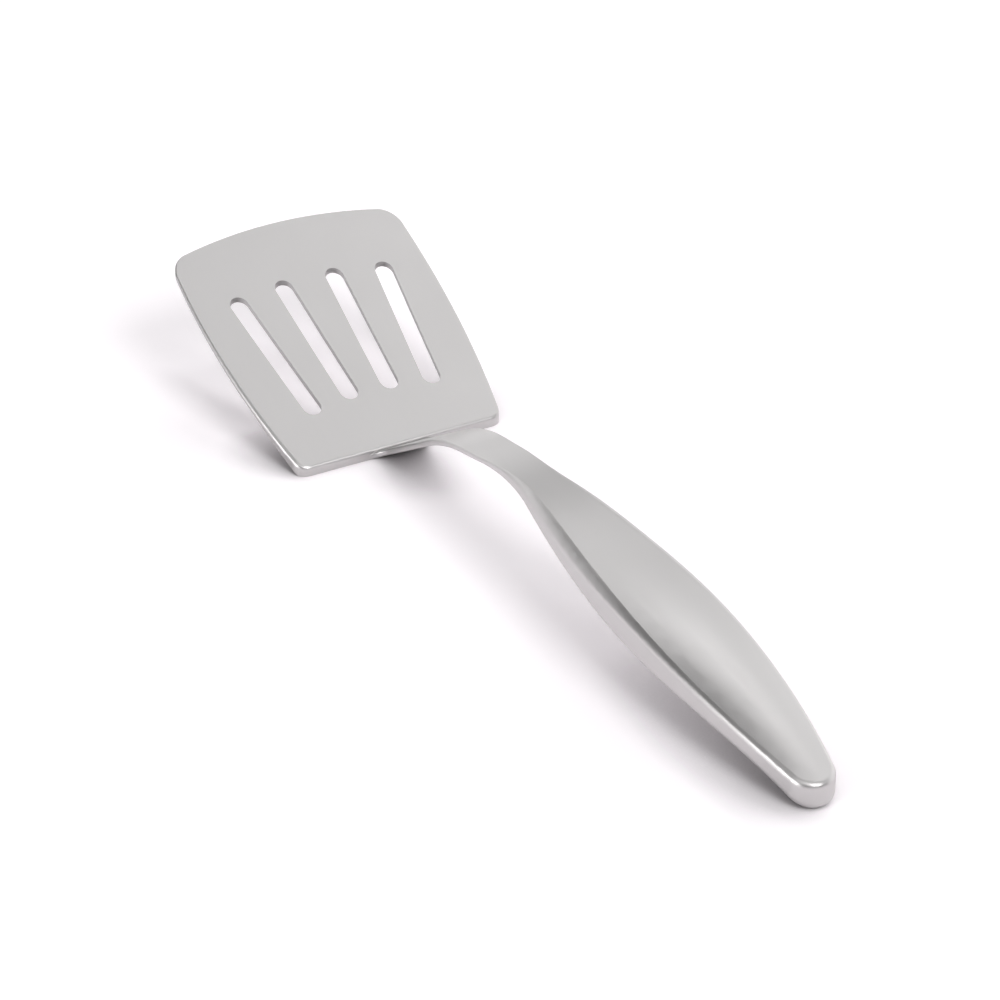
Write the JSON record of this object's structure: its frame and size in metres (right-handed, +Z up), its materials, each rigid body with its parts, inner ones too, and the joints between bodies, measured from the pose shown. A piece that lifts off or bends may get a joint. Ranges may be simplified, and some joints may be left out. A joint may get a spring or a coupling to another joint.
{
  "type": "slotted spatula",
  "caption": "Slotted spatula: flared, gently curved blade with a turned-down heel lip, bent strap neck and leaf-shaped handle, in brushed steel.",
  "frame": {"origin": "on the surface it lies on, under the middle of its bounding box", "axes": "+X along the tool from the blade's tip to the handle's end, +Y across it, +Z up"},
  "size_m": [0.3282, 0.086, 0.0464],
  "materials": {
    "steel": "fine satin brushing, brighter on the rounded edges"
  },
  "bodies": {
    "root": {"slotted_spatula": "steel"}
  },
  "joints": []
}
